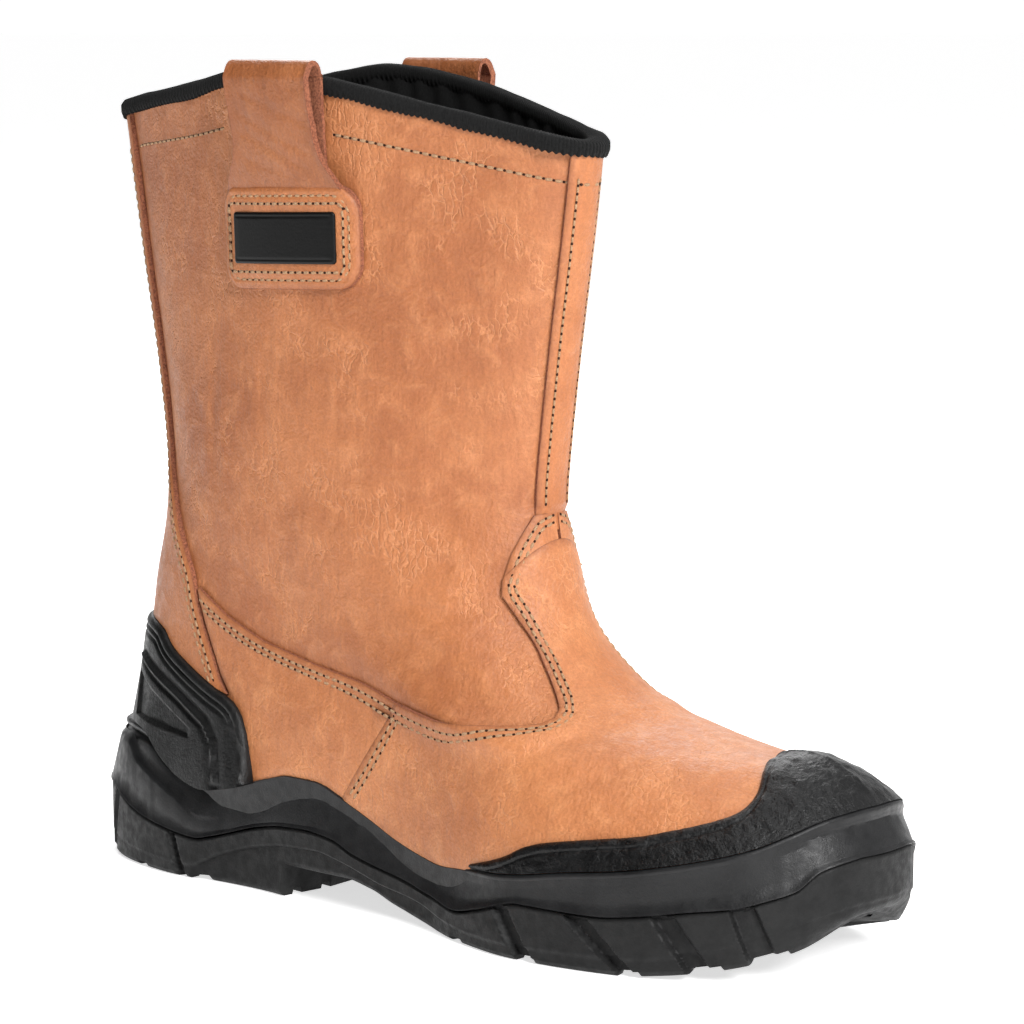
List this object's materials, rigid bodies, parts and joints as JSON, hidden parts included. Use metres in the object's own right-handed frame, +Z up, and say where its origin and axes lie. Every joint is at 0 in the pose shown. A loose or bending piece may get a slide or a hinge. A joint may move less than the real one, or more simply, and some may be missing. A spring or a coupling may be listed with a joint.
{
  "type": "rigger boot",
  "caption": "Pull-on rigger boot for the right foot: tan leather shaft and vamp, side pull loops, bound collar, black moulded sole with toe bumper and heel counter.",
  "frame": {"origin": "middle of the boot's bounding box on the floor", "axes": "+X to the outer side of the right foot, +Y to the toe, +Z up"},
  "size_m": [0.1116, 0.3204, 0.2795],
  "materials": {
    "upper_leather": "full-grain leather, satin, lightly creased",
    "strip_leather": "full-grain leather with raw edges",
    "loop_leather": "folded leather strap, satin",
    "binding_tape": "black ribbed woven tape",
    "badge_plate": "bare black plate",
    "sole_rubber": "moulded black rubber, matt",
    "insole_felt": "dark felt"
  },
  "bodies": {
    "root": {"upper": "upper_leather", "front_strip": "strip_leather", "back_strip": "strip_leather", "collar_binding": "binding_tape", "pull_loop_lateral": "loop_leather", "pull_loop_medial": "loop_leather", "badge": "badge_plate", "toe_bumper": "sole_rubber", "heel_counter": "sole_rubber", "midsole": "sole_rubber", "outsole": "sole_rubber", "insole": "insole_felt"}
  },
  "joints": []
}
